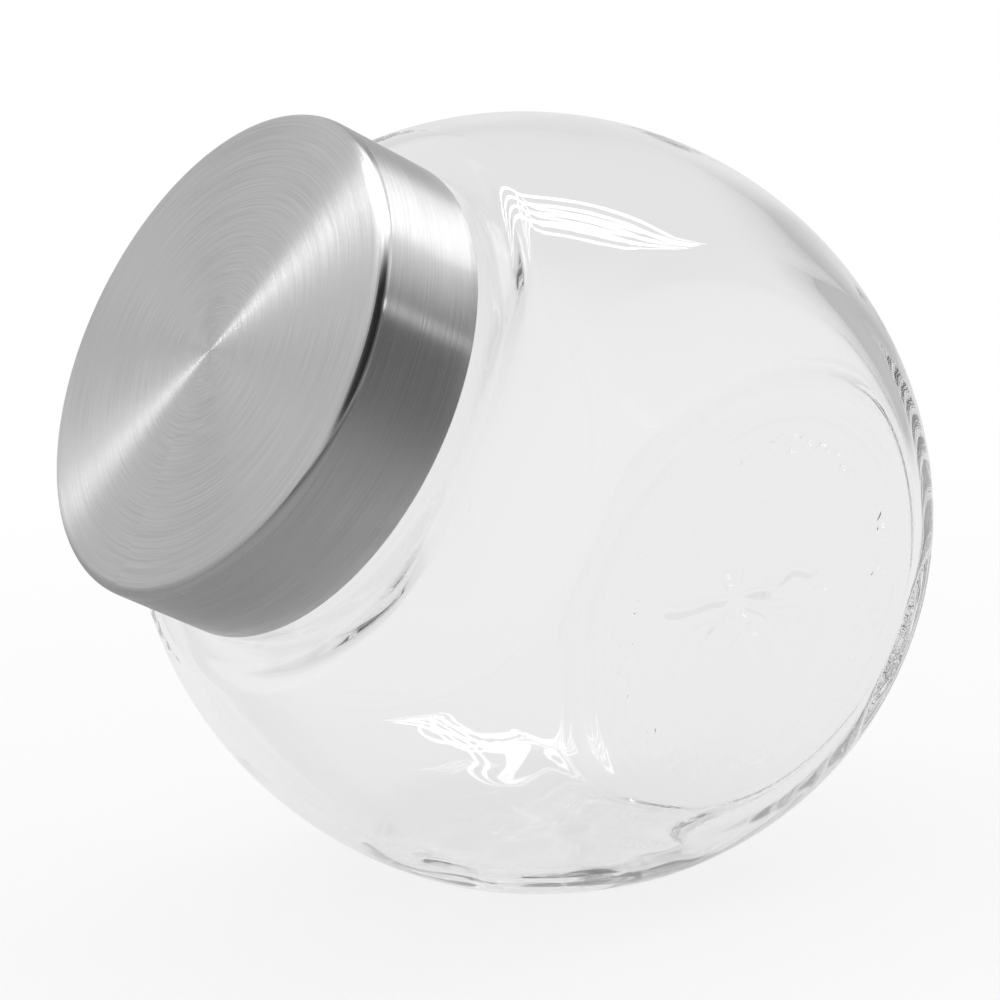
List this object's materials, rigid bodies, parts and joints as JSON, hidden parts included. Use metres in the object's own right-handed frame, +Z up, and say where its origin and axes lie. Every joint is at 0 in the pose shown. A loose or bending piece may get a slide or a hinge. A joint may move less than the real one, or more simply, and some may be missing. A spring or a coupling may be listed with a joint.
{
  "type": "tilt jar",
  "caption": "Round clear glass storage jar with flat side panels that lies tipped back on a small flat, closed by a brushed steel screw lid with a plastic inner cap and a soft seal.",
  "frame": {"origin": "middle of the small flat that the jar lies on when it is tipped back", "axes": "+Z up, the neck and lid lean towards -X at 30 degrees above the table, the flat side panels face -Y and +Y"},
  "size_m": [0.1969, 0.1246, 0.177],
  "materials": {
    "clear_glass": "clear colourless pressed glass, glossy",
    "turned_steel": "turned stainless steel with fine rings on the face and lines around the skirt",
    "white_plastic": "moulded, fine satin",
    "soft_seal": "translucent silicone"
  },
  "bodies": {
    "jar": {"glass_jar": "clear_glass"},
    "seal": {"lid_seal": "soft_seal"},
    "lid": {"lid_shell": "turned_steel", "lid_insert": "white_plastic"}
  },
  "joints": [
    {"name": "lid_rise", "type": "slide", "parent": "jar", "child": "seal", "axis": [-0.866, 0, 0.5], "range_m": [0, 0.0481]},
    {"name": "lid_turn", "type": "hinge", "parent": "seal", "child": "lid", "pos_m": [0, 0, 0.0834], "axis": [-0.866, 0, 0.5], "range_deg": [0, 720]}
  ],
  "couplings": [
    {"joint": "lid_rise", "follows": "lid_turn", "m_per_rad": 0.0038197}
  ]
}
